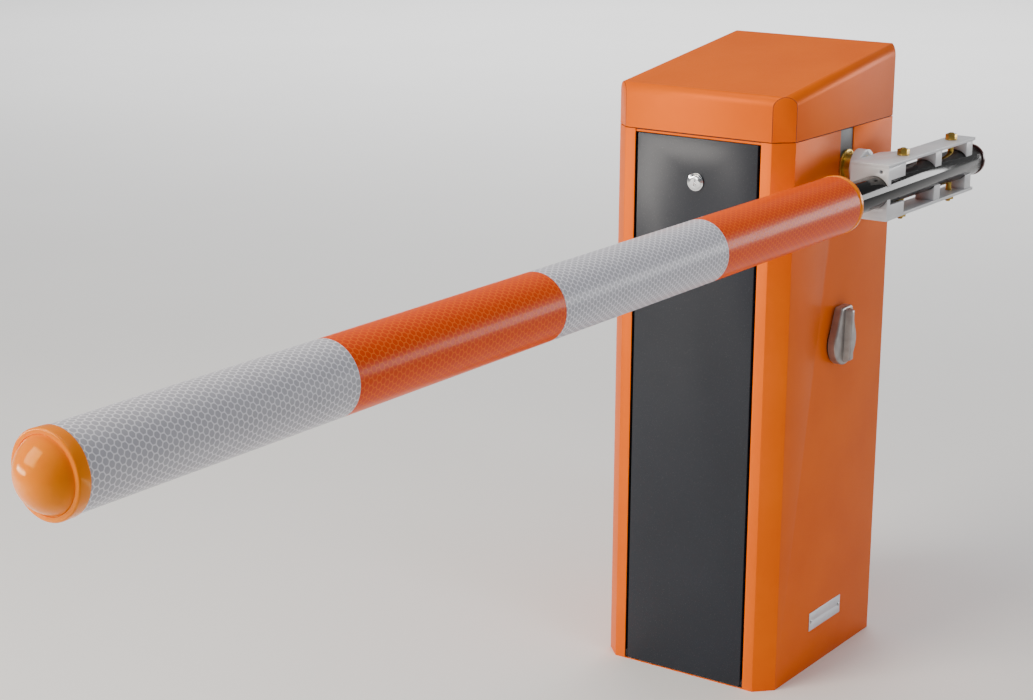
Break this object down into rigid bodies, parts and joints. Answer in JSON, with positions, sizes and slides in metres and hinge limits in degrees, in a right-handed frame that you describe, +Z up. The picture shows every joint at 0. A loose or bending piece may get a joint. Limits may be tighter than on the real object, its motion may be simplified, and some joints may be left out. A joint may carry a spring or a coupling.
{
  "type": "parking barrier gate",
  "caption": "Parking barrier gate: a steel cabinet with a sloping lift-off lid and front door, and a round banded boom that lifts on a shaft through its side.",
  "frame": {"origin": "centre of the base plate's underside, on the ground", "axes": "+Z up; +X towards the side that carries the boom; the door faces -Y; the closed boom points to -Y"},
  "size_m": [0.4445, 2.155, 1.0287],
  "materials": {
    "orange_powder_coat": "semi-gloss powder coat",
    "door_slate": "satin powder coat",
    "black_steel": "satin black paint",
    "frame_steel": "grey primer",
    "bright_steel": "ground steel",
    "yellow_zinc": "yellow chromated zinc",
    "cast_grey": "grey cast iron",
    "motor_blue": "machine enamel",
    "spring_steel": "oiled spring steel",
    "cast_aluminium": "bead-blasted casting",
    "black_rubber": "matt rubber",
    "red_rubber": "dark red rubber",
    "orange_plastic": "glossy moulded plastic",
    "red_plastic": "glossy moulded plastic",
    "black_plastic": "moulded plastic",
    "blue_plastic": "moulded plastic",
    "green_plastic": "moulded plastic",
    "grey_plastic": "moulded plastic",
    "winding_copper": "varnished winding",
    "sleeve_aluminium": "painted extrusion",
    "silver_film": "honeycomb reflective film",
    "orange_film": "honeycomb reflective film",
    "chrome": "polished chrome",
    "brass_cam": "stamped brass",
    "knob_cast": "bare cast zinc",
    "label": "blank printed plate"
  },
  "bodies": {
    "cabinet": {"cabinet_shell": "orange_powder_coat", "base_plate": "frame_steel", "slot_plate": "frame_steel", "flange_ring": "yellow_zinc", "door_frame": "black_steel", "lid_seal": "red_rubber", "name_plate": "label", "drive_frame": "frame_steel", "frame_bolts": "bright_steel", "bearing_left": "cast_grey", "bearing_right": "cast_grey", "gearbox": "cast_grey", "motor": "motor_blue", "motor_fan_cowl": "black_plastic", "stop_block": "frame_steel", "stop_buffers": "black_rubber", "spring_anchor": "frame_steel", "spring_adjusters": "yellow_zinc", "balance_springs": "spring_steel", "limit_switches": "blue_plastic", "control_panel": "frame_steel", "control_unit": "black_plastic", "terminal_block": "green_plastic", "transformer": "winding_copper", "circuit_breaker": "grey_plastic", "isolator_switch": "black_plastic", "internal_cables": "black_plastic"},
    "boom": {"main_shaft": "yellow_zinc", "double_lever": "bright_steel", "lever_pins": "bright_steel", "limit_cam": "yellow_zinc", "clamp_hub": "cast_aluminium", "clamp_top_bar": "cast_aluminium", "clamp_bottom_bar": "cast_aluminium", "clamp_feet": "cast_aluminium", "clamp_bolts": "yellow_zinc", "boom_tube": "black_steel", "tube_end_cap": "red_plastic", "boom_sleeve": "sleeve_aluminium", "sleeve_spacers": "black_plastic", "sleeve_end_ring": "orange_plastic", "film_silver_tip": "silver_film", "film_orange_mid": "orange_film", "film_silver_mid": "silver_film", "film_orange_root": "orange_film", "boom_tip_cap": "orange_plastic"},
    "crank": {"crank_arm": "bright_steel", "gearbox_shaft": "bright_steel"},
    "rod": {"drive_rod": "bright_steel"},
    "hanger": {"spring_hanger": "yellow_zinc"},
    "door": {"door_panel": "door_slate", "door_seal": "black_rubber", "lock_barrel": "chrome"},
    "lock": {"lock_cam": "brass_cam"},
    "lid": {"lid": "orange_powder_coat"},
    "isolator": {"isolator_knob": "knob_cast", "isolator_spindle": "bright_steel"}
  },
  "joints": [
    {"name": "boom_lift", "type": "hinge", "parent": "cabinet", "child": "boom", "pos_m": [0, 0.005, 0.85], "axis": [-1, 0, 0], "range_deg": [0, 90], "deforming": ["balance_springs"]},
    {"name": "crank_turn", "type": "hinge", "parent": "cabinet", "child": "crank", "pos_m": [0, 0.005, 0.52], "axis": [-1, 0, 0], "range_deg": [0, 90]},
    {"name": "rod_swing", "type": "hinge", "parent": "crank", "child": "rod", "pos_m": [0.0245, -0.05157, 0.46343], "axis": [-1, 0, 0], "range_deg": [-90, 0]},
    {"name": "hanger_swing", "type": "hinge", "parent": "boom", "child": "hanger", "pos_m": [0.011, 0.06864, 0.91364], "axis": [-1, 0, 0], "range_deg": [-90, 0]},
    {"name": "door_tilt", "type": "hinge", "parent": "cabinet", "child": "door", "pos_m": [0, -0.193, 0.008], "axis": [1, 0, 0], "range_deg": [0, 25]},
    {"name": "lock_turn", "type": "hinge", "parent": "door", "child": "lock", "pos_m": [0, -0.18, 0.836], "axis": [0, -1, 0], "range_deg": [0, 90]},
    {"name": "lid_lift", "type": "slide", "parent": "cabinet", "child": "lid", "axis": [0, 0, 1], "range_m": [0, 0.15]},
    {"name": "isolator_turn", "type": "hinge", "parent": "cabinet", "child": "isolator", "pos_m": [0.16, 0, 0.56], "axis": [-1, 0, 0], "range_deg": [0, 90]}
  ],
  "couplings": [
    {"joint": "crank_turn", "follows": "boom_lift", "ratio": 1},
    {"joint": "rod_swing", "follows": "boom_lift", "ratio": -1},
    {"joint": "hanger_swing", "follows": "boom_lift", "ratio": -1}
  ]
}
